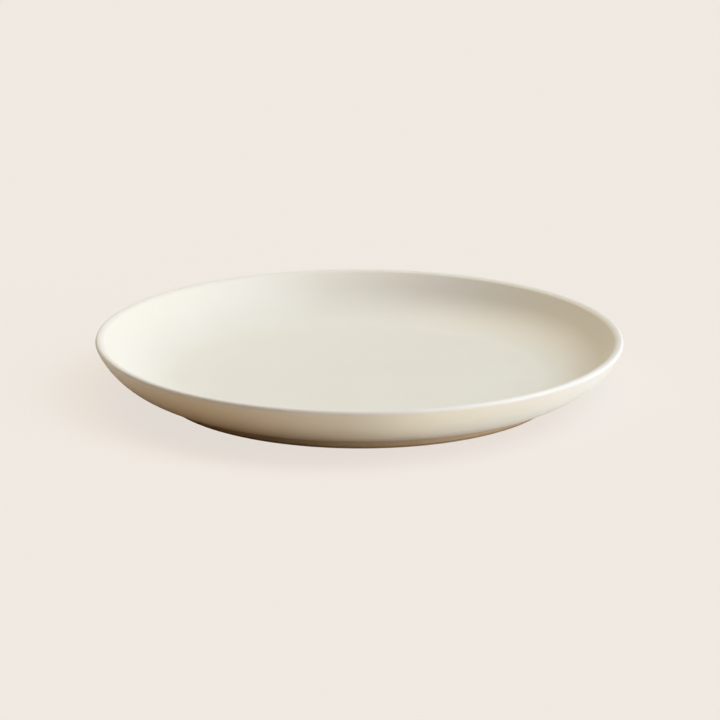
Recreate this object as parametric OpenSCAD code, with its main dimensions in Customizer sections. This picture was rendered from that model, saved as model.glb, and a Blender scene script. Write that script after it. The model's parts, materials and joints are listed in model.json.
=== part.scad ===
// Coupe plate in glazed stoneware: a flat floor, a wall that sweeps up to a rounded lip,
// and a low foot ring. Every solid is an outline turned about +Z. The origin is on the axis,
// at the table that the foot ring stands on. Lengths are in millimetres, angles in degrees.

/* [Plate] */
// Diameter over the lip
plate_d = 270; // [200:1:340]
// Height from the table to the top of the lip
plate_h = 29; // [26.5:0.1:32]

/* [Lip] */
// Radius of the lip's outer edge
lip_edge_r = 1.5; // [1.2:0.05:1.8]
// Radius of the roll from the top of the lip in to the wall
lip_roll_r = 4.6; // [3.6:0.1:5.6]

/* [Well] */
// Thickness of the flat floor, glaze included
floor_thk = 5.3; // [4.4:0.1:6.4]
// Slope of the straight stretch of wall below the lip, inside
well_slope = 46; // [42:1:50]
// Radius of the sweep from the floor up to that stretch
well_sweep_r = 42.5; // [30:0.5:48]

/* [Belly] */
// Slope of the outside wall where it runs into the lip
belly_slope = 64.5; // [60:0.5:69]
// Radius of the fillet in the crease between the belly and the foot ring
crease_r = 1.5; // [0.8:0.1:2.4]

/* [Foot ring] */
// How far the ring's outside flank stands in from the lip
foot_inset = 32.4; // [30:0.1:35]
// Height of the crease above the table
foot_h = 4.9; // [4.1:0.1:5.7]
// Width of the ring, from flank to flank
foot_w = 5.5; // [4.4:0.1:8]
// Radius of the ring's two edges at the table
foot_edge_r = 0.8; // [0.4:0.1:1]
// Depth of the recess inside the ring
recess_depth = 3; // [2.4:0.1:3.8]
// Radius of the fillet round the recess's ceiling
recess_fillet_r = 1; // [0.6:0.1:1.4]

/* [Glaze] */
// Thickness of the coat of glaze
glaze_thk = 0.4; // [0.2:0.05:0.6]
// Height of the band that is wiped bare above the ring's rounded edge
bare_band_h = 0.2; // [0.1:0.05:0.4]

/* [Hidden] */
$fn = 240;
// How far a chord may lie inside the arc that it stands for
chord_depth = 0.01;

clay_colour = "#c8b08c";
glaze_colour = "#e2ded2";
recess_colour = "#d8d2c2";

// The lip is a tight edge outside and a wide roll inside, which meet at the top. Both centres
// stay put, however deep below the glaze the lip is drawn.
edge_centre = [plate_d / 2 - lip_edge_r, plate_h - lip_edge_r];
roll_centre = [plate_d / 2 - lip_edge_r, plate_h - lip_roll_r];

// The belly is one arc. It starts on the flank at the crease's height, and runs into the lip
// at the belly's slope.
foot_r = plate_d / 2 - foot_inset;
belly_end = edge_centre + lip_edge_r * square_to(belly_slope);
belly_chord = belly_end - [foot_r, foot_h];
belly_chord_slope = atan2(belly_chord.y, belly_chord.x);
belly_r = norm(belly_chord) / 2 / sin(belly_slope - belly_chord_slope);
belly_centre = belly_end - belly_r * square_to(belly_slope);

// The crease's fillet touches the flank and the belly.
crease_x = foot_r + crease_r;
crease_drop = sqrt(pow(belly_r + crease_r, 2) - pow(crease_x - belly_centre.x, 2));
crease_centre = [crease_x, belly_centre.y - crease_drop];
crease_way = crease_centre - belly_centre;
belly_start_angle = atan2(crease_way.y, crease_way.x);

// The floor ends where the sweep starts, and the sweep ends on the wall's straight stretch.
floor_z = recess_depth + floor_thk;
wall_top = roll_centre - lip_roll_r * square_to(well_slope);
floor_corner_x = wall_top.x - (wall_top.y - floor_z) / tan(well_slope);
floor_r = floor_corner_x - well_sweep_r * tan(well_slope / 2);
well_centre = [floor_r, floor_z + well_sweep_r];

// The recess inside the ring, and the height at which the glaze is wiped off the ring.
recess_r = foot_r - foot_w;
recess_centre = [recess_r - recess_fillet_r, recess_depth - recess_fillet_r];
wipe_z = foot_edge_r + bare_band_h;

// A unit step square to a rising slope, out of the wall and down.
function square_to(slope) = [sin(slope), -cos(slope)];

// The points of an arc from one angle to another, close enough to keep to chord_depth.
function arc(centre, r, from, to) =
    let (steps = ceil(abs(to - from) / acos(1 - chord_depth / r) / 2))
    [for (i = [0:steps]) let (a = from + (to - from) * i / steps) centre + r * [cos(a), sin(a)]];

// The same points in the other order.
function backwards(points) = [for (i = [len(points) - 1:-1:0]) points[i]];

// The glazed face from the wiped line outside the ring, over belly, lip and sweep, to the
// middle of the floor. It is drawn at a depth below the surface of the glaze.
function main_face(depth) = concat(
    [[foot_r - depth, wipe_z]],
    arc(crease_centre, crease_r + depth, 180, belly_start_angle + 180),
    arc(belly_centre, belly_r - depth, belly_start_angle, belly_slope - 90),
    arc(edge_centre, lip_edge_r - depth, belly_slope - 90, 0),
    arc(edge_centre, lip_edge_r - depth, 0, 90),
    arc(roll_centre, lip_roll_r - depth, 90, well_slope + 90),
    arc(well_centre, well_sweep_r + depth, well_slope - 90, -90),
    [[0, floor_z - depth]]
);

// The glazed face from the middle of the recess to the wiped line inside the ring.
function recess_face(depth) = concat(
    [[0, recess_depth + depth]],
    arc(recess_centre, recess_fillet_r + depth, 90, 0),
    [[recess_r + depth, wipe_z]]
);

// The ring's bare underside, from flank to flank.
function bare_face(depth) = concat(
    arc([recess_r + depth + foot_edge_r, foot_edge_r], foot_edge_r, 180, 270),
    arc([foot_r - depth - foot_edge_r, foot_edge_r], foot_edge_r, 270, 360)
);

// A skin of glaze between a face's surface and the clay below it.
module glaze_skin(surface, clay) {
    rotate_extrude() polygon(concat(surface, backwards(clay)));
}

// The fired clay: floor, wall and foot ring pressed as one, bare where the ring meets the table.
module stoneware_body() {
    outline = concat(recess_face(glaze_thk), bare_face(glaze_thk), main_face(glaze_thk));
    color(clay_colour) rotate_extrude() polygon(outline);
}

// The glaze over the well, the lip, the belly and the ring's outside flank.
module glaze_coat() {
    color(glaze_colour) glaze_skin(main_face(0), main_face(glaze_thk));
}

// The glaze inside the foot ring, cut off from the rest by the ring's bare underside.
module recess_glaze() {
    color(recess_colour) glaze_skin(recess_face(0), recess_face(glaze_thk));
}

stoneware_body();
glaze_coat();
recess_glaze();
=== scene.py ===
# %% [markdown]
# # A coupe plate in satin glazed stoneware
#
# This script dresses one dinner plate. A coupe plate has no flat rim: the floor of the well
# sweeps up into a wall, and the wall ends in a rounded lip. Underneath, a low ring keeps the
# floor off the table. The plate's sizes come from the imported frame, and everything here is in
# metres in that same frame, so a piece made here lies where the frame's own piece lies.

# %% Load the frame
import json
import math

import bmesh
import bpy
from mathutils import Color, Matrix, Vector

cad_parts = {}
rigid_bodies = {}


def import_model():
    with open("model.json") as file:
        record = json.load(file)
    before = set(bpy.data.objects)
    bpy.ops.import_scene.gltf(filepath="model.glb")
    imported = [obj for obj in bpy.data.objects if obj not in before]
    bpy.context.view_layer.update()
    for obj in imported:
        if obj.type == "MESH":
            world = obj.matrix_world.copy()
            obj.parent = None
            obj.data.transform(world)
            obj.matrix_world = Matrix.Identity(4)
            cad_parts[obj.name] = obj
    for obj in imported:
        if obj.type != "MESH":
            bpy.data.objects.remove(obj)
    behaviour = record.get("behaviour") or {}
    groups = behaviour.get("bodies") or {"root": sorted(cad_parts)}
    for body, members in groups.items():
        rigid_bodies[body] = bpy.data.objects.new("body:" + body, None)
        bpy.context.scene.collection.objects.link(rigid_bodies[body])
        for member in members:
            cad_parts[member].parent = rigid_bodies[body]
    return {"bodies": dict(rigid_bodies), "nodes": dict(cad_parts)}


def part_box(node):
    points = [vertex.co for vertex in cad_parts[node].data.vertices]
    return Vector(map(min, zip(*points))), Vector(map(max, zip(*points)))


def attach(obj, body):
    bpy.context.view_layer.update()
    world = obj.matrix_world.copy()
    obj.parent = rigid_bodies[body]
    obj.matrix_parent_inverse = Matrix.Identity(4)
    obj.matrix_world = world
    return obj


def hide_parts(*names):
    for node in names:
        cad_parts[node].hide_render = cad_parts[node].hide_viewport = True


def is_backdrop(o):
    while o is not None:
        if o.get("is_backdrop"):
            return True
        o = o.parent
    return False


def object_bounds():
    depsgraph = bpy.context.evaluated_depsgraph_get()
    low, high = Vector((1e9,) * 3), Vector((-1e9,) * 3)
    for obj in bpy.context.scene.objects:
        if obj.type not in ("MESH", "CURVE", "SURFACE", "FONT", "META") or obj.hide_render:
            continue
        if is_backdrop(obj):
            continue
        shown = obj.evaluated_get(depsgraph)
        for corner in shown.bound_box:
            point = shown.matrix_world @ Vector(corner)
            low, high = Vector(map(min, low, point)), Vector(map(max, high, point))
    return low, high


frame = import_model()
cad_low, cad_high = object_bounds()
print("nodes in the frame:", ", ".join(sorted(frame["nodes"])))

# %% [markdown]
# ## The plate's sizes
#
# The frame gives the large sizes: how wide the plate is, how high, how thick its glaze is, and
# how deep the recess inside the foot ring is. The others are the sizes that a potter would put
# on the profile drawing. They could all be read off the frame's meshes, but a named size is
# easier to follow. If one of them were out, it would show further down, where each piece's
# volume is printed beside that of the frame's own piece.

# %% Sizes
MM = 0.001
CM = 0.01

_, clay_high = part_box("stoneware_body")
coat_low, coat_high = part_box("glaze_coat")
_, recess_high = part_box("recess_glaze")

plate_r = coat_high.x
plate_h = coat_high.z
glaze_thk = coat_high.x - clay_high.x
wipe_z = coat_low.z
recess_r = recess_high.x - glaze_thk
recess_depth = recess_high.z - glaze_thk

lip_edge_r = 1.5 * MM
lip_roll_r = 4.6 * MM
floor_thk = 5.3 * MM
well_slope = math.radians(46)
well_sweep_r = 42.5 * MM
belly_slope = math.radians(64.5)
crease_r = 1.5 * MM
foot_inset = 32.4 * MM
foot_h = 4.9 * MM
foot_edge_r = 0.8 * MM
recess_fillet_r = 1 * MM

print(f"plate {2 * plate_r / MM:.1f} mm across, {plate_h / MM:.1f} mm high, glaze {glaze_thk / MM:.2f} mm")

# %% [markdown]
# ## Arcs
#
# A plate is thrown or pressed against a profile, and the model is made in the same way: one
# profile, turned about the plate's axis. Curve objects with a Screw modifier would do, but a
# list of points from a few arcs is exact. The points of an arc are as close together as its
# radius asks for, so a tight edge is as smooth as a wide sweep.

# %% Arcs
CHORD_DEPTH = 0.003 * MM
LEAST_STEPS = 2
QUARTER_TURN = math.pi / 2


def square_to(slope):
    """A unit step square to a rising slope, out of the wall and down."""
    return Vector((math.sin(slope), -math.cos(slope)))


def arc(centre, radius, start, end):
    """The points of an arc, so close together that no chord lies deeper than CHORD_DEPTH."""
    widest_step = 2 * math.acos(1 - CHORD_DEPTH / radius)
    steps = max(LEAST_STEPS, math.ceil(abs(end - start) / widest_step))
    angles = [start + (end - start) * i / steps for i in range(steps + 1)]
    return [centre + radius * Vector((math.cos(a), math.sin(a))) for a in angles]


# %% [markdown]
# ## Where the arcs lie
#
# From the foot up and round, the profile is a fillet in the crease, one long arc for the belly,
# a tight edge outside the lip, a wide roll inside it, a short straight wall, the sweep and the
# flat floor. Each stretch starts where the last one ends and in the same direction, and that is
# what makes the shading run over the joins without a line. So most centres follow from a
# neighbour's, by a step of one radius square to the profile. The crease's fillet touches the
# flank and the belly, so its centre is both radii away from the belly's centre.

# %% Centres of the arcs
edge_centre = Vector((plate_r - lip_edge_r, plate_h - lip_edge_r))
roll_centre = Vector((plate_r - lip_edge_r, plate_h - lip_roll_r))

foot_r = plate_r - foot_inset
belly_end = edge_centre + lip_edge_r * square_to(belly_slope)
belly_chord = belly_end - Vector((foot_r, foot_h))
belly_chord_slope = math.atan2(belly_chord.y, belly_chord.x)
belly_r = belly_chord.length / 2 / math.sin(belly_slope - belly_chord_slope)
belly_centre = belly_end - belly_r * square_to(belly_slope)

crease_x = foot_r + crease_r
crease_drop = math.sqrt((belly_r + crease_r) ** 2 - (crease_x - belly_centre.x) ** 2)
crease_centre = Vector((crease_x, belly_centre.y - crease_drop))
crease_way = crease_centre - belly_centre
belly_start = math.atan2(crease_way.y, crease_way.x)

floor_z = recess_depth + floor_thk
wall_top = roll_centre - lip_roll_r * square_to(well_slope)
floor_corner_x = wall_top.x - (wall_top.y - floor_z) / math.tan(well_slope)
floor_r = floor_corner_x - well_sweep_r * math.tan(well_slope / 2)
well_centre = Vector((floor_r, floor_z + well_sweep_r))

recess_centre = Vector((recess_r - recess_fillet_r, recess_depth - recess_fillet_r))

print(f"the floor is flat to a radius of {floor_r / MM:.1f} mm")
print(f"the belly's arc has a radius of {belly_r / MM:.1f} mm, the foot ring {foot_r / MM:.1f} mm")

# %% [markdown]
# ## The glazed faces
#
# The glaze is a coat of even thickness, so the clay under it has the same profile, drawn a
# little deeper. Each face is therefore a function of its depth below the glaze's surface. The
# flat floor gets a few points along it too, so that its faces stay small.

# %% Glazed faces
FLOOR_RING_SHARES = (0.8, 0.6, 0.4, 0.2, 0)


def floor_rings(radius, height):
    """Points along a flat floor, from inside its edge to the axis."""
    return [Vector((radius * share, height)) for share in FLOOR_RING_SHARES]


def main_face(depth):
    """The belly, the lip, the sweep and the floor, from the crease up and in to the axis."""
    return [
        *arc(crease_centre, crease_r + depth, math.pi, belly_start + math.pi),
        *arc(belly_centre, belly_r - depth, belly_start, belly_slope - QUARTER_TURN)[1:],
        *arc(edge_centre, lip_edge_r - depth, belly_slope - QUARTER_TURN, 0)[1:],
        *arc(edge_centre, lip_edge_r - depth, 0, QUARTER_TURN)[1:],
        *arc(roll_centre, lip_roll_r - depth, QUARTER_TURN, well_slope + QUARTER_TURN)[1:],
        *arc(well_centre, well_sweep_r + depth, well_slope - QUARTER_TURN, -QUARTER_TURN),
        *floor_rings(floor_r, floor_z - depth),
    ]


def recess_face(depth):
    """The recess inside the foot ring, from the axis out and down to the fillet's end."""
    ceiling = floor_rings(recess_r - recess_fillet_r, recess_depth + depth)
    return [*reversed(ceiling), *arc(recess_centre, recess_fillet_r + depth, QUARTER_TURN, 0)]


# %% [markdown]
# ## Three closed profiles
#
# Each piece is a solid, so its profile is a closed loop: a glaze goes out along its surface and
# back along the clay. Where the glaze stops it doesn't end in a square step. Molten glass pulls
# back from a wiped line into a small round bead, so the bead is part of the glaze's own profile.
# Below the wiped line the clay carries on alone, round the foot ring's two soft edges.

# %% Closed profiles
outer_wipe = Vector((foot_r - glaze_thk, wipe_z))
inner_wipe = Vector((recess_r + glaze_thk, wipe_z))
outer_bead = arc(outer_wipe + Vector((0, glaze_thk)), glaze_thk, -QUARTER_TURN, 0)
inner_bead = arc(inner_wipe + Vector((0, glaze_thk)), glaze_thk, math.pi, 3 * QUARTER_TURN)

outer_edge_centre = Vector((outer_wipe.x - foot_edge_r, foot_edge_r))
inner_edge_centre = Vector((inner_wipe.x + foot_edge_r, foot_edge_r))

main_glaze_profile = [*outer_bead, *main_face(0), *reversed(main_face(glaze_thk))]
recess_glaze_profile = [*recess_face(0), *inner_bead, *reversed(recess_face(glaze_thk))]
clay_profile = [
    *recess_face(glaze_thk),
    inner_wipe,
    *arc(inner_edge_centre, foot_edge_r, math.pi, 3 * QUARTER_TURN),
    *arc(outer_edge_centre, foot_edge_r, -QUARTER_TURN, 0),
    outer_wipe,
    *main_face(glaze_thk),
]
for title, profile in (
    ("main glaze", main_glaze_profile),
    ("recess glaze", recess_glaze_profile),
    ("clay", clay_profile),
):
    print(f"{title} profile: {len(profile)} points")

# %% [markdown]
# ## The wiped edge
#
# A hand wipes the glaze off the foot, so its edge wanders up and down a little as it goes
# round. Noise would do for that, but it would have to be made to meet itself after one turn. A
# sum of a few slow waves does so by itself. Above the edge the wander fades out.

# %% Wiped edge
WANDER_DEPTH = 0.12 * MM
WANDER_FADE = 1.5 * MM
# How often each wave comes round, where it starts, and its share of the depth.
WANDER_WAVES = ((3, 0.4, 0.5), (7, 1.9, 0.3), (16, 4.2, 0.2))


def wander(angle):
    """How far the wiped edge strays at an angle, from -1 to 1."""
    return sum(share * math.sin(count * angle + start) for count, start, share in WANDER_WAVES)


def wandered(point, angle):
    """The height of a profile point, raised where the wiped edge strays upwards."""
    if point.x >= crease_x or not foot_edge_r <= point.y < foot_h:
        return point.y
    fade = max(0.0, 1 - abs(point.y - wipe_z) / WANDER_FADE) ** 2
    return point.y + WANDER_DEPTH * fade * (1 + wander(angle)) / 2


print(f"the wiped edge strays by up to {WANDER_DEPTH / MM:.2f} mm, in {len(WANDER_WAVES)} waves")

# %% [markdown]
# ## Turning a profile
#
# Blender's Spin tool can turn a profile, but here each ring is a little different where the
# wiped edge wanders, so the wheel is a loop over angles. Every point of the profile becomes a
# ring of vertices, and two rings are joined by a band of faces. A point on the axis is one
# vertex, or the middle of the floor would be a knot of hundreds of vertices in one place. A
# band whose two sides both lie on the axis has no faces at all. Faces are shaded smooth, and
# only a real corner, such as the line where a bead meets the clay, is marked as a sharp edge.

# %% Lathe
TURN_STEPS = 288
ON_AXIS = 0.001 * MM
SHARP_CORNER = math.radians(40)


def ring_of(mesh, point):
    """One ring of vertices, or a single vertex for a point on the axis."""
    if point.x < ON_AXIS:
        return [mesh.verts.new((0, 0, point.y))]
    angles = [2 * math.pi * i / TURN_STEPS for i in range(TURN_STEPS)]
    return [
        mesh.verts.new((point.x * math.cos(a), point.x * math.sin(a), wandered(point, a)))
        for a in angles
    ]


def at_step(ring, step):
    """The vertex of a ring at one step of the turn. A ring on the axis has the same one for all."""
    return ring[step % len(ring)]


def band(mesh, first, second):
    """The faces between two rings: four corners each, or three where a ring is one vertex."""
    if len(first) == 1 and len(second) == 1:
        return
    for here in range(TURN_STEPS):
        after = (here + 1) % TURN_STEPS
        corners = [at_step(first, here), at_step(first, after)]
        corners += [at_step(second, after), at_step(second, here)]
        mesh.faces.new(list(dict.fromkeys(corners)))


def in_scene(name, mesh):
    """An object in the scene, made from a finished mesh."""
    data = bpy.data.meshes.new(name)
    mesh.to_mesh(data)
    mesh.free()
    made = bpy.data.objects.new(name, data)
    bpy.context.scene.collection.objects.link(made)
    return made


def turned(name, profile):
    """A closed solid: the profile's loop of points turned about the axis."""
    mesh = bmesh.new()
    rings = [ring_of(mesh, point) for point in profile]
    for first, second in zip(rings, [*rings[1:], rings[0]]):
        band(mesh, first, second)
    bmesh.ops.recalc_face_normals(mesh, faces=mesh.faces)
    for face in mesh.faces:
        face.smooth = True
    for edge in mesh.edges:
        edge.smooth = edge.calc_face_angle(0) < SHARP_CORNER
    return in_scene(name, mesh)


def volume(solid):
    """What a closed mesh holds, in cubic centimetres."""
    mesh = bmesh.new()
    mesh.from_mesh(solid.data)
    held = mesh.calc_volume()
    mesh.free()
    return held / CM ** 3


# %% [markdown]
# ## The three pieces
#
# A glazed plate is three things that were fused in the kiln: the clay, the coat of glass over
# all that shows, and a second coat inside the foot ring. Only the ring's underside is bare,
# because glaze that touches the kiln shelf would weld the plate to it. Each piece takes the
# place of the frame's node of the same kind and moves with the plate's one body.
#
# The two volumes in each line of the print differ only by the bead, by the wander and by how
# finely each mesh follows the same round shape.

# %% Pieces
ROOT = next(iter(frame["bodies"]))

fired_clay = turned("fired_clay", clay_profile)
main_glaze = turned("main_glaze", main_glaze_profile)
foot_recess_glaze = turned("foot_recess_glaze", recess_glaze_profile)

for piece, node, slot in (
    (fired_clay, "stoneware_body", "bare_stoneware"),
    (main_glaze, "glaze_coat", "satin_glaze"),
    (foot_recess_glaze, "recess_glaze", "recess_glaze"),
):
    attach(piece, ROOT)
    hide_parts(node)
    own, given = volume(piece), volume(frame["nodes"][node])
    print(f"{piece.name}: {len(piece.data.polygons)} faces, {own:.1f} cm3, in the frame {given:.1f} cm3")

# %% [markdown]
# ## Writing a finish as sums
#
# A finish is a tree of nodes, and much of it is arithmetic: a mask here, a share of a noise
# there. Wiring Math nodes by hand hides that. The two classes below let the arithmetic be
# read as arithmetic. A `Wire` is the output of a node, and `+`, `-` and `*` on wires add the
# Math nodes. A `Finish` is the tree, with one method that adds any other node.


# %% Wires and finishes
class Wire:
    """The output of a node. An expression on wires and numbers adds its Math nodes."""

    def __init__(self, finish, socket):
        self.finish = finish
        self.socket = socket

    def math(self, operation, first, second):
        return self.finish.node("Math", {"operation": operation}, {0: first, 1: second})

    def __add__(self, other):
        return self.math("ADD", self, other)

    def __radd__(self, other):
        return self.math("ADD", other, self)

    def __sub__(self, other):
        return self.math("SUBTRACT", self, other)

    def __rsub__(self, other):
        return self.math("SUBTRACT", other, self)

    def __mul__(self, other):
        return self.math("MULTIPLY", self, other)

    def __rmul__(self, other):
        return self.math("MULTIPLY", other, self)


class Finish:
    """A node tree, for a material or for the world, with one method that adds any node."""

    def __init__(self, owner):
        owner.use_nodes = True
        self.owner = owner
        self.tree = owner.node_tree
        self.tree.nodes.clear()

    def node(self, kind, settings=None, inputs=None, output=0):
        """Adds a node. Its settings are set first, then its inputs: values, or wires to link."""
        made = self.tree.nodes.new("ShaderNode" + kind)
        for name, value in (settings or {}).items():
            setattr(made, name, value)
        for name, value in (inputs or {}).items():
            if isinstance(value, Wire):
                self.tree.links.new(value.socket, made.inputs[name])
            else:
                made.inputs[name].default_value = value
        return Wire(self, made.outputs[output] if len(made.outputs) else None)

    def ended(self, output_kind, surface):
        """Ends the tree in its output node, and returns the material or world that owns it."""
        self.node(output_kind, None, {"Surface": surface})
        print(f"{self.owner.name}: {len(self.tree.nodes)} nodes")
        return self.owner


# %% [markdown]
# ## Small tools for a finish
#
# A few steps come back in every finish, so each has a name. Colours are written as a screen
# shows them, which is how people pick them, and turned into the linear values that a shader
# works with. They are mixed by Mix nodes, because a Math node would turn a colour grey. The
# plate is round, so the places that matter on it are found by their distance from the axis and
# by their height.

# %% Tools for a finish
FULL_CHANNEL = 255
# A Mix node has a set of sockets for each kind of value, and these are the ones for colours.
MIX_FACTOR, MIX_FIRST, MIX_SECOND, MIX_RESULT = 0, 6, 7, 2
# Times this, a point keeps its place across the table and loses its height.
ACROSS_ONLY = (1, 1, 0)
NOISE_DETAIL = 2.0
NOISE_MIDDLE = 0.5


def linear(*channels):
    """Red, green and blue as a screen shows them, 0 to 255 each, as a shader's linear colour."""
    shown = Color([channel / FULL_CHANNEL for channel in channels])
    return (*shown.from_srgb_to_scene_linear(), 1)


def mixed(finish, factor, first, second):
    """A colour between two colours."""
    colours = {MIX_FACTOR: factor, MIX_FIRST: first, MIX_SECOND: second}
    return finish.node("Mix", {"data_type": "RGBA"}, colours, output=MIX_RESULT)


def noise(finish, place, grain, detail=NOISE_DETAIL):
    """Soft noise from 0 to 1 whose patches are about one grain across, a length in metres."""
    return finish.node("TexNoise", None, {"Vector": place, "Scale": 1 / grain, "Detail": detail})


def between(finish, value, low, high):
    """0 at the first limit, 1 at the second, a smooth slope between, and flat past both."""
    limits = {"Value": value, "From Min": low, "From Max": high}
    return finish.node("MapRange", {"interpolation_type": "SMOOTHSTEP"}, limits)


def from_axis(finish, place):
    """How far a point lies from the plate's axis."""
    across = finish.node("VectorMath", {"operation": "MULTIPLY"}, {0: place, 1: ACROSS_ONLY})
    return finish.node("VectorMath", {"operation": "LENGTH"}, {0: across}, output="Value")


def height_of(finish, place):
    """How high a point lies above the table."""
    return finish.node("SeparateXYZ", None, {"Vector": place}, output="Z")


def surfaced(finish, tone, roughness, relief, gloss):
    """Ends a finish in its one shader. The relief is a height in metres."""
    normal = finish.node("Bump", None, {"Strength": 1.0, "Distance": 1.0, "Height": relief})
    look = {"Base Color": tone, "Roughness": roughness, "Specular IOR Level": gloss, "Normal": normal}
    return finish.ended("OutputMaterial", finish.node("BsdfPrincipled", None, look))


# %% [markdown]
# ## The skin of a glaze
#
# The glaze is a satin one. It mirrors nothing sharply, but it has a sheen, so its roughness is
# in the middle of the scale. Two things keep such a surface from looking like plastic. The coat
# is a little thicker in some places than in others, so the cream drifts by a few parts in a
# hundred over some centimetres. And tiny crystals in the glass make a fine skin like the peel
# of an orange, far below a millimetre, which breaks the sheen up. A picture of a real glaze
# would have to be stretched round the plate. Noise fills space, so it fits any shape.
#
# Both glazes of the plate have this skin, so it is a function that returns its three parts.

# %% Skin of a glaze
GLAZE_GLOSS = 0.5

DRIFT_GRAIN = 45 * MM
CLOUD_GRAIN = 9 * MM
PEEL_GRAIN = 1.1 * MM
CRYSTAL_GRAIN = 0.35 * MM

DRIFT_SHARE = 0.7
CLOUD_SHARE = 0.3
THIN_LIMITS = (0.3, 0.7)

CLOUD_DEPTH = 0.03 * MM
PEEL_DEPTH = 0.012 * MM
CRYSTAL_DEPTH = 0.006 * MM

CLOUD_DULLING = 0.06
CRYSTAL_DULLING = 0.12


def glaze_skin(finish, place):
    """Where the coat is thin, from 0 to 1, its relief in metres, and what it adds to roughness."""
    drift = noise(finish, place, DRIFT_GRAIN)
    cloud = noise(finish, place, CLOUD_GRAIN)
    peel = noise(finish, place, PEEL_GRAIN)
    crystals = noise(finish, place, CRYSTAL_GRAIN)
    thin = between(finish, drift * DRIFT_SHARE + cloud * CLOUD_SHARE, *THIN_LIMITS)
    relief = cloud * CLOUD_DEPTH + peel * PEEL_DEPTH + crystals * CRYSTAL_DEPTH
    cloud_dulling = (cloud - NOISE_MIDDLE) * CLOUD_DULLING
    crystal_dulling = (crystals - NOISE_MIDDLE) * CRYSTAL_DULLING
    return thin, relief, cloud_dulling + crystal_dulling


# %% [markdown]
# ## Satin glaze
#
# Molten glass runs. It gathers in the crease above the foot ring, where it is a little deeper in
# tone. The lip's tight edge is whiter and cooler: the glaze is drawn thin over it, and a painted
# highlight adds the light line that the sheen shows along the lip. On the ring's flank below the
# crease the cream is tinted a darker, warmer tan. All three places are rings, so their masks are
# made from a point's distance from the axis and its height. They could be painted by hand, but
# sums follow the plate's sizes.

# %% Satin glaze
SATIN_ROUGHNESS = 0.42
CREAM = linear(226, 221, 208)
THIN_CREAM = linear(228, 223, 212)
# A whiter, cooler cream for the lip's edge: the thin glaze there, plus a painted highlight of the sheen's
# light line.
LIP_HIGHLIGHT_WHITE = linear(226, 223, 217)
POOLED_CREAM = linear(219, 211, 196)
FLANK_TAN = linear(216, 199, 177)

LIP_FADE = 2.2 * MM
POOL_REACH = 2.0 * MM
FLANK_FADE = 1.0 * MM
LEAST_TAN_SHARE = 0.8

print("cream as a shader takes it:", [round(part, 3) for part in CREAM])


def satin_finish():
    """The glaze over the well, the lip, the belly and the foot's flank."""
    finish = Finish(bpy.data.materials.new("satin_cream_glaze"))
    place = finish.node("TexCoord", output="Object")
    radius = from_axis(finish, place)
    height = height_of(finish, place)
    thin, relief, dulling = glaze_skin(finish, place)
    cream = mixed(finish, thin, CREAM, THIN_CREAM)

    # Painted highlight: the lip's edge is mixed towards a whiter, cooler cream, for the sheen's light line
    # along it.
    out_at_lip = between(finish, radius, edge_centre.x - LIP_FADE, edge_centre.x + lip_edge_r / 2)
    up_at_lip = between(finish, height, edge_centre.y - LIP_FADE, edge_centre.y)
    lip_highlighted = mixed(finish, out_at_lip * up_at_lip, cream, LIP_HIGHLIGHT_WHITE)

    aside = radius - crease_centre.x
    above = height - crease_centre.y
    from_crease = finish.node("Math", {"operation": "SQRT"}, {0: aside * aside + above * above})
    pooled = between(finish, from_crease, crease_r + POOL_REACH, crease_r)
    crease_toned = mixed(finish, pooled, lip_highlighted, POOLED_CREAM)

    # The flank below the crease is tinted a darker, warmer tan, more so where the coat's drift runs thin.
    on_flank = between(finish, height, crease_centre.y + FLANK_FADE, crease_centre.y)
    tan_share = LEAST_TAN_SHARE + thin * (1 - LEAST_TAN_SHARE)
    tone = mixed(finish, on_flank * tan_share, crease_toned, FLANK_TAN)
    return surfaced(finish, tone, dulling + SATIN_ROUGHNESS, relief, GLAZE_GLOSS)


main_glaze.data.materials.append(satin_finish())

# %% [markdown]
# ## Recess glaze
#
# Nobody looks under a plate, so the recess gets one quick, thin coat. The clay's buff shows
# through it, and so do the fine rings that the turning tool left: a sine wave of the distance
# from the axis, bent by noise so that no two rings are alike. They could be cut into the mesh,
# but they are only a fiftieth of a millimetre deep, so relief in the finish is enough.

# %% Recess glaze
RECESS_ROUGHNESS = 0.47
RECESS_CREAM = linear(220, 213, 197)
THIN_RECESS_CREAM = linear(212, 202, 182)
THIN_TONE_SHARE = 0.7
RING_TONE_SHARE = 0.15

RING_PITCH = 2.6 * MM
RING_DEPTH = 0.02 * MM
RING_BEND = 1.5 * MM
RING_BEND_GRAIN = 30 * MM


def recess_finish():
    """The thin glaze inside the foot ring, over the marks of the turning tool."""
    finish = Finish(bpy.data.materials.new("thin_recess_glaze"))
    place = finish.node("TexCoord", output="Object")
    thin, relief, dulling = glaze_skin(finish, place)

    bent_radius = from_axis(finish, place) + noise(finish, place, RING_BEND_GRAIN) * RING_BEND
    turns = bent_radius * (2 * math.pi / RING_PITCH)
    rings = finish.node("Math", {"operation": "SINE"}, {0: turns})

    clay_share = thin * THIN_TONE_SHARE + rings * RING_TONE_SHARE
    tone = mixed(finish, clay_share, RECESS_CREAM, THIN_RECESS_CREAM)
    return surfaced(finish, tone, dulling + RECESS_ROUGHNESS, relief + rings * RING_DEPTH, GLAZE_GLOSS)


foot_recess_glaze.data.materials.append(recess_finish())

# %% [markdown]
# ## Bare clay
#
# The foot ring's underside is the clay itself: buff, dry and sandy, with a few iron specks.
# Along the edge of the glaze the kiln has toasted it to a warmer tone, as it does wherever
# glass and bare clay meet. The specks could be scattered as tiny meshes, but a Voronoi texture
# is lighter: it cuts space into cells with one speck in the middle of each, and a cell's
# random colour decides which of them keep theirs.

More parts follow.
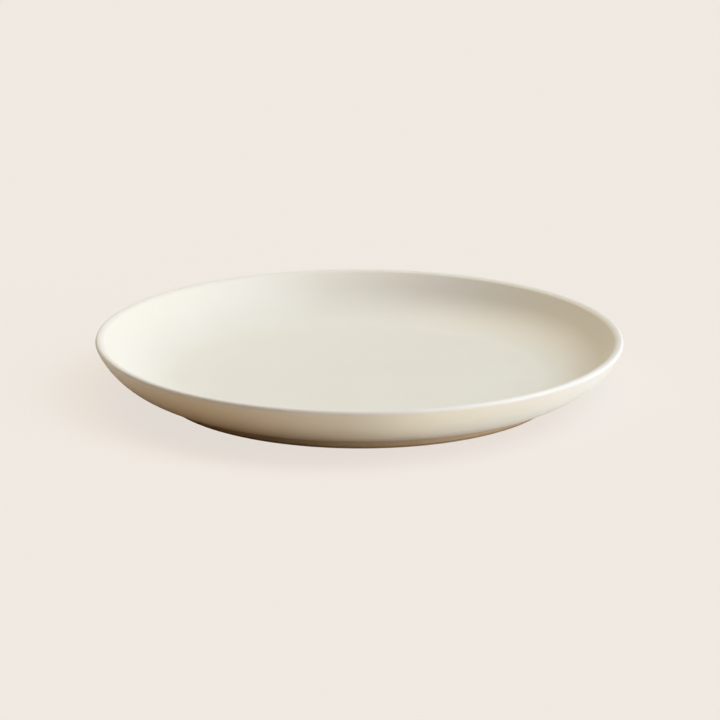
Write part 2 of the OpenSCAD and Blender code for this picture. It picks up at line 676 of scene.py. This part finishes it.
# %% Bare clay
CLAY_ROUGHNESS = 0.85
CLAY_GLOSS = 0.3
BUFF = linear(200, 186, 162)
PALE_BUFF = linear(208, 196, 174)
SAND = linear(184, 168, 142)
TOASTED = linear(172, 148, 118)
IRON = linear(96, 74, 56)

PATCH_GRAIN = 14 * MM
SAND_GRAIN = 0.5 * MM
SAND_DETAIL = 4.0
SAND_LIMITS = (0.4, 0.7)
SAND_DEPTH = 0.05 * MM
SAND_DULLING = 0.1

SPECK_CELL = 1.8 * MM
SPECK_LIMITS = (0.15, 0.09)
SPECK_CHOICE = (0.6, 0.65)


def clay_finish():
    """The fired clay, which shows only under the foot ring."""
    finish = Finish(bpy.data.materials.new("bare_buff_clay"))
    place = finish.node("TexCoord", output="Object")
    height = height_of(finish, place)
    grain = noise(finish, place, SAND_GRAIN, detail=SAND_DETAIL)
    buff = mixed(finish, noise(finish, place, PATCH_GRAIN), BUFF, PALE_BUFF)
    sandy = mixed(finish, between(finish, grain, *SAND_LIMITS), buff, SAND)
    toasted = mixed(finish, between(finish, height, foot_edge_r / 2, wipe_z), sandy, TOASTED)

    cells = {"Vector": place, "Scale": 1 / SPECK_CELL}
    from_middle = finish.node("TexVoronoi", None, cells, output="Distance")
    cell_colour = finish.node("TexVoronoi", None, cells, output="Color")
    choice = finish.node("SeparateColor", None, {"Color": cell_colour}, output="Red")
    specks = between(finish, from_middle, *SPECK_LIMITS) * between(finish, choice, *SPECK_CHOICE)

    tone = mixed(finish, specks, toasted, IRON)
    roughness = CLAY_ROUGHNESS + (grain - NOISE_MIDDLE) * SAND_DULLING
    return surfaced(finish, tone, roughness, grain * SAND_DEPTH, CLAY_GLOSS)


fired_clay.data.materials.append(clay_finish())

# %% [markdown]
# ## Table
#
# The plate stands on a plain pale table that runs on into a backdrop of the same colour. Three
# kinds of ray see the table in three ways. To the camera it is the backdrop's colour, mostly by
# its own glow, with a small share of lit surface that carries the plate's soft shadow. Rays that
# come off the glaze's sheen see it lit. All other rays carry the light that it throws back up
# under the plate, which is weaker and warmer on the side away from the window. That is what
# gives the belly its warm shade.
#
# The table lies a hair below the foot ring. Two faces in one plane would fight over which of
# them is seen.

# %% Table
BACKDROP = linear(240, 233, 225)
TABLE_R = 6.0
TABLE_CORNERS = 96
TABLE_GAP = 0.02 * MM
SHADOW_SHARE = 0.15
TABLE_GLOW = 1.012

FAR_SIDE_TONE = (0.50, 0.34, 0.18, 1)
WINDOW_SIDE_TONE = (0.95, 0.95, 0.95, 1)
FAR_SIDE_X = -80 * MM
WINDOW_SIDE_X = 120 * MM


def either(first, second):
    """A mask that is 1 where one of two masks is."""
    return first.math("MAXIMUM", first, second)


def merged(finish, factor, first, second):
    """A shader between two shaders."""
    return finish.node("MixShader", None, {0: factor, 1: first, 2: second})


def ray_kinds(finish):
    """Two masks: 1 for rays from the camera, and 1 for rays that come off gloss or glass."""
    camera_rays = finish.node("LightPath", output="Is Camera Ray")
    glossy_rays = finish.node("LightPath", output="Is Glossy Ray")
    glass_rays = finish.node("LightPath", output="Is Transmission Ray")
    return camera_rays, either(glossy_rays, glass_rays)


def table_finish():
    """The table as the camera shows it, as the sheen mirrors it, and as it lights the belly."""
    finish = Finish(bpy.data.materials.new("pale_table"))
    lit = finish.node("BsdfDiffuse", None, {"Color": BACKDROP})
    glow = finish.node("Emission", None, {"Color": BACKDROP, "Strength": TABLE_GLOW})
    shown = merged(finish, SHADOW_SHARE, glow, lit)

    place = finish.node("TexCoord", output="Object")
    across = finish.node("SeparateXYZ", None, {"Vector": place}, output="X")
    window_side = between(finish, across, FAR_SIDE_X, WINDOW_SIDE_X)
    far_bounce = finish.node("BsdfDiffuse", None, {"Color": FAR_SIDE_TONE})
    window_bounce = finish.node("BsdfDiffuse", None, {"Color": WINDOW_SIDE_TONE})
    bounce = merged(finish, window_side, far_bounce, window_bounce)

    camera_rays, mirrored_rays = ray_kinds(finish)
    unseen = merged(finish, mirrored_rays, bounce, lit)
    return finish.ended("OutputMaterial", merged(finish, camera_rays, unseen, shown))


def disc(name, radius):
    """A flat round of table about the plate's axis."""
    mesh = bmesh.new()
    bmesh.ops.create_circle(mesh, cap_ends=True, segments=TABLE_CORNERS, radius=radius)
    return in_scene(name, mesh)


table = disc("table", TABLE_R)
table.location.z = -TABLE_GAP
table.data.materials.append(table_finish())
table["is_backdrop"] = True
print(f"the table reaches {TABLE_R:.0f} m out and lies {TABLE_GAP / MM:.2f} mm below the foot")

# %% [markdown]
# ## Backdrop
#
# The world is the table's colour for the camera, and for rays that come off gloss, so that the
# sheen shows the same room that the camera sees. For all other rays it is black. A bright world
# would light the plate from every side alike, and wash out the shade that shows its shape.

# %% Backdrop
BLACK = (0, 0, 0, 1)


def backdrop_sky():
    """A world that is seen but gives no light of its own to a matt surface."""
    finish = Finish(bpy.data.worlds.new("backdrop"))
    dark = finish.node("Background", None, {"Color": BLACK})
    shown = finish.node("Background", None, {"Color": BACKDROP})
    return finish.ended("OutputWorld", merged(finish, either(*ray_kinds(finish)), dark, shown))


bpy.context.scene.world = backdrop_sky()

# %% [markdown]
# ## Two kinds of lamp
#
# A window that is some way off lights every part of a plate from the same side, so it is a sun
# lamp, made wide to soften its shadows. A sheet of card that lies beside the plate lights what
# is near it most, so it is an area lamp. Neither is ever seen by the camera. The glaze's sheen
# already sees the bright backdrop and the table in every direction. Lamps that shone in it as
# well would count twice and burn the lip out, so most of them are left out of the sheen.

# %% Kinds of lamp
SILL_WIDTH = math.radians(12)
WINDOW_WIDTH = math.radians(40)
SHEET_SIDE = 300 * MM
SHEET_DISTANCE = 330 * MM
SHEET_LIFT = 4 * MM
DOWN = Vector((0, 0, -1))


def add_lamp(name, kind, strengths, against, in_sheen, **settings):
    """A lamp that shines against a direction, with a strength for red, green and blue."""
    data = bpy.data.lights.new(name, kind)
    data.energy = max(strengths)
    data.color = [strength / max(strengths) for strength in strengths]
    for setting, value in settings.items():
        setattr(data, setting, value)
    lamp = bpy.data.objects.new(name, data)
    lamp.rotation_mode = "QUATERNION"
    lamp.rotation_quaternion = against.to_track_quat("Z", "Y")
    lamp.visible_camera = False
    lamp.visible_glossy = in_sheen
    bpy.context.scene.collection.objects.link(lamp)
    return lamp


def soft_window(name, azimuth, elevation, tone, width=WINDOW_WIDTH, in_sheen=True):
    """A wide, distant lamp. Azimuth 0 is at the right and 90 behind the plate, in degrees.

    Its tone is the linear colour that it gives a white surface facing it. A sun lamp of
    strength pi gives such a surface a brightness of 1.
    """
    a, e = math.radians(azimuth), math.radians(elevation)
    towards = Vector((math.cos(a) * math.cos(e), math.sin(a) * math.cos(e), math.sin(e)))
    add_lamp(name, "SUN", [math.pi * part for part in tone], towards, in_sheen, angle=width)


def white_sheet(name, azimuth, watts):
    """A sheet of card that lies on the table and throws light up under the plate."""
    a = math.radians(azimuth)
    sheet = add_lamp(name, "AREA", watts, DOWN, False, shape="SQUARE", size=SHEET_SIDE)
    sheet.location = (SHEET_DISTANCE * math.cos(a), SHEET_DISTANCE * math.sin(a), SHEET_LIFT)


# %% [markdown]
# ## The window and the room
#
# The plate stands beside a window, at the right and a little towards the camera. Here it is two
# wide lamps, a rosy one low down and a blue one above it, as open sky is. A third, narrow one
# lies just above the table, and a weak one like it stands nearer the camera. The plate's own
# wall keeps these two out of most of the well, so that only the wall across from them is lit.
# Three more lamps stand for the room's ceiling and its other walls. On the well's floor they
# all add up to nearly white, so a finish looks there as it is written.
#
# No distant lamp reaches the belly from below. In a room, the table does that, and so do things
# on it. Four white sheets round the near side play them.

# %% Lamps
soft_window("window_sill", 340, 4, (0.27, 0.25, 0.18), width=SILL_WIDTH)
soft_window("front_sill", 300, 4, (0.05, 0.04, 0.02), width=SILL_WIDTH)
soft_window("window_low", 340, 30, (0.41, 0.29, 0.33), in_sheen=False)
soft_window("window_sky", 0, 54, (0.29, 0.52, 0.68), in_sheen=False)
soft_window("ceiling", 0, 85, (0.29, 0.23, 0.13), in_sheen=False)
soft_window("back_wall", 120, 45, (0.22, 0.17, 0.11))
soft_window("far_wall", 180, 12, (0.07, 0.03, 0.01), in_sheen=False)
white_sheet("window_sheet", 330, (0.06, 0.09, 0.12))
white_sheet("front_sheet", 300, (0.09, 0.09, 0.06))
white_sheet("middle_sheet", 240, (0.06, 0.06, 0.06))
white_sheet("far_sheet", 210, (0.11, 0.13, 0.15))

lamps = [lamp for lamp in bpy.context.scene.objects if lamp.type == "LIGHT"]
print(f"{len(lamps)} lamps:", ", ".join(lamp.name for lamp in lamps))

# %% [markdown]
# ## Camera
#
# The photo was taken from a little above the plate and from some way off. Each ellipse in it, of
# the lip, the crease and the foot, gives its own height and flatness, and one camera fits them
# all: about 16 degrees above the table, 1.5 m away, with a long lens. The photo is turned by a
# small part of a degree, so the camera's own right and up are turned by as much. A Track To
# constraint would aim a camera too, but it can't hold such a turn.

# %% Camera
CAMERA_DISTANCE = 1.5
CAMERA_ELEVATION = math.radians(16.16)
CAMERA_ROLL = math.radians(0.13)
CAMERA_TARGET = Vector((0.309 * MM, 0, 15.05 * MM))
CAMERA_LENS = 145.8

away = Vector((0, -math.cos(CAMERA_ELEVATION), math.sin(CAMERA_ELEVATION)))
level_up = Vector((0, math.sin(CAMERA_ELEVATION), math.cos(CAMERA_ELEVATION)))
level_right = Vector((1, 0, 0))
right = math.cos(CAMERA_ROLL) * level_right + math.sin(CAMERA_ROLL) * level_up
up = math.cos(CAMERA_ROLL) * level_up - math.sin(CAMERA_ROLL) * level_right

camera_data = bpy.data.cameras.new("camera")
camera_data.lens = CAMERA_LENS
camera = bpy.data.objects.new("camera", camera_data)
bpy.context.scene.collection.objects.link(camera)
camera_place = Matrix.Translation(CAMERA_TARGET + CAMERA_DISTANCE * away)
camera_turn = Matrix((right, up, away)).transposed().to_4x4()
camera.matrix_world = camera_place @ camera_turn
bpy.context.scene.camera = camera
bpy.context.scene.view_settings.view_transform = "Standard"
print("the camera stands at", [round(x, 3) for x in camera_place.translation])

# %% [markdown]
# ## The finished model against the frame
#
# The model's box is measured in the same way as the box of the frame's own pieces, and the two
# are written down side by side, where a difference of a hundredth of a millimetre shows. The
# model has to stay inside the box of the frame's own pieces.

# %% Sizes of the finished model
shown_low, shown_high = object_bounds()
boxes = {"cad": [list(cad_low), list(cad_high)], "visual": [list(shown_low), list(shown_high)]}
for title, corners in boxes.items():
    low, high = corners
    print(title, "box in mm:", [round(x / MM, 3) for x in low], [round(x / MM, 3) for x in high])
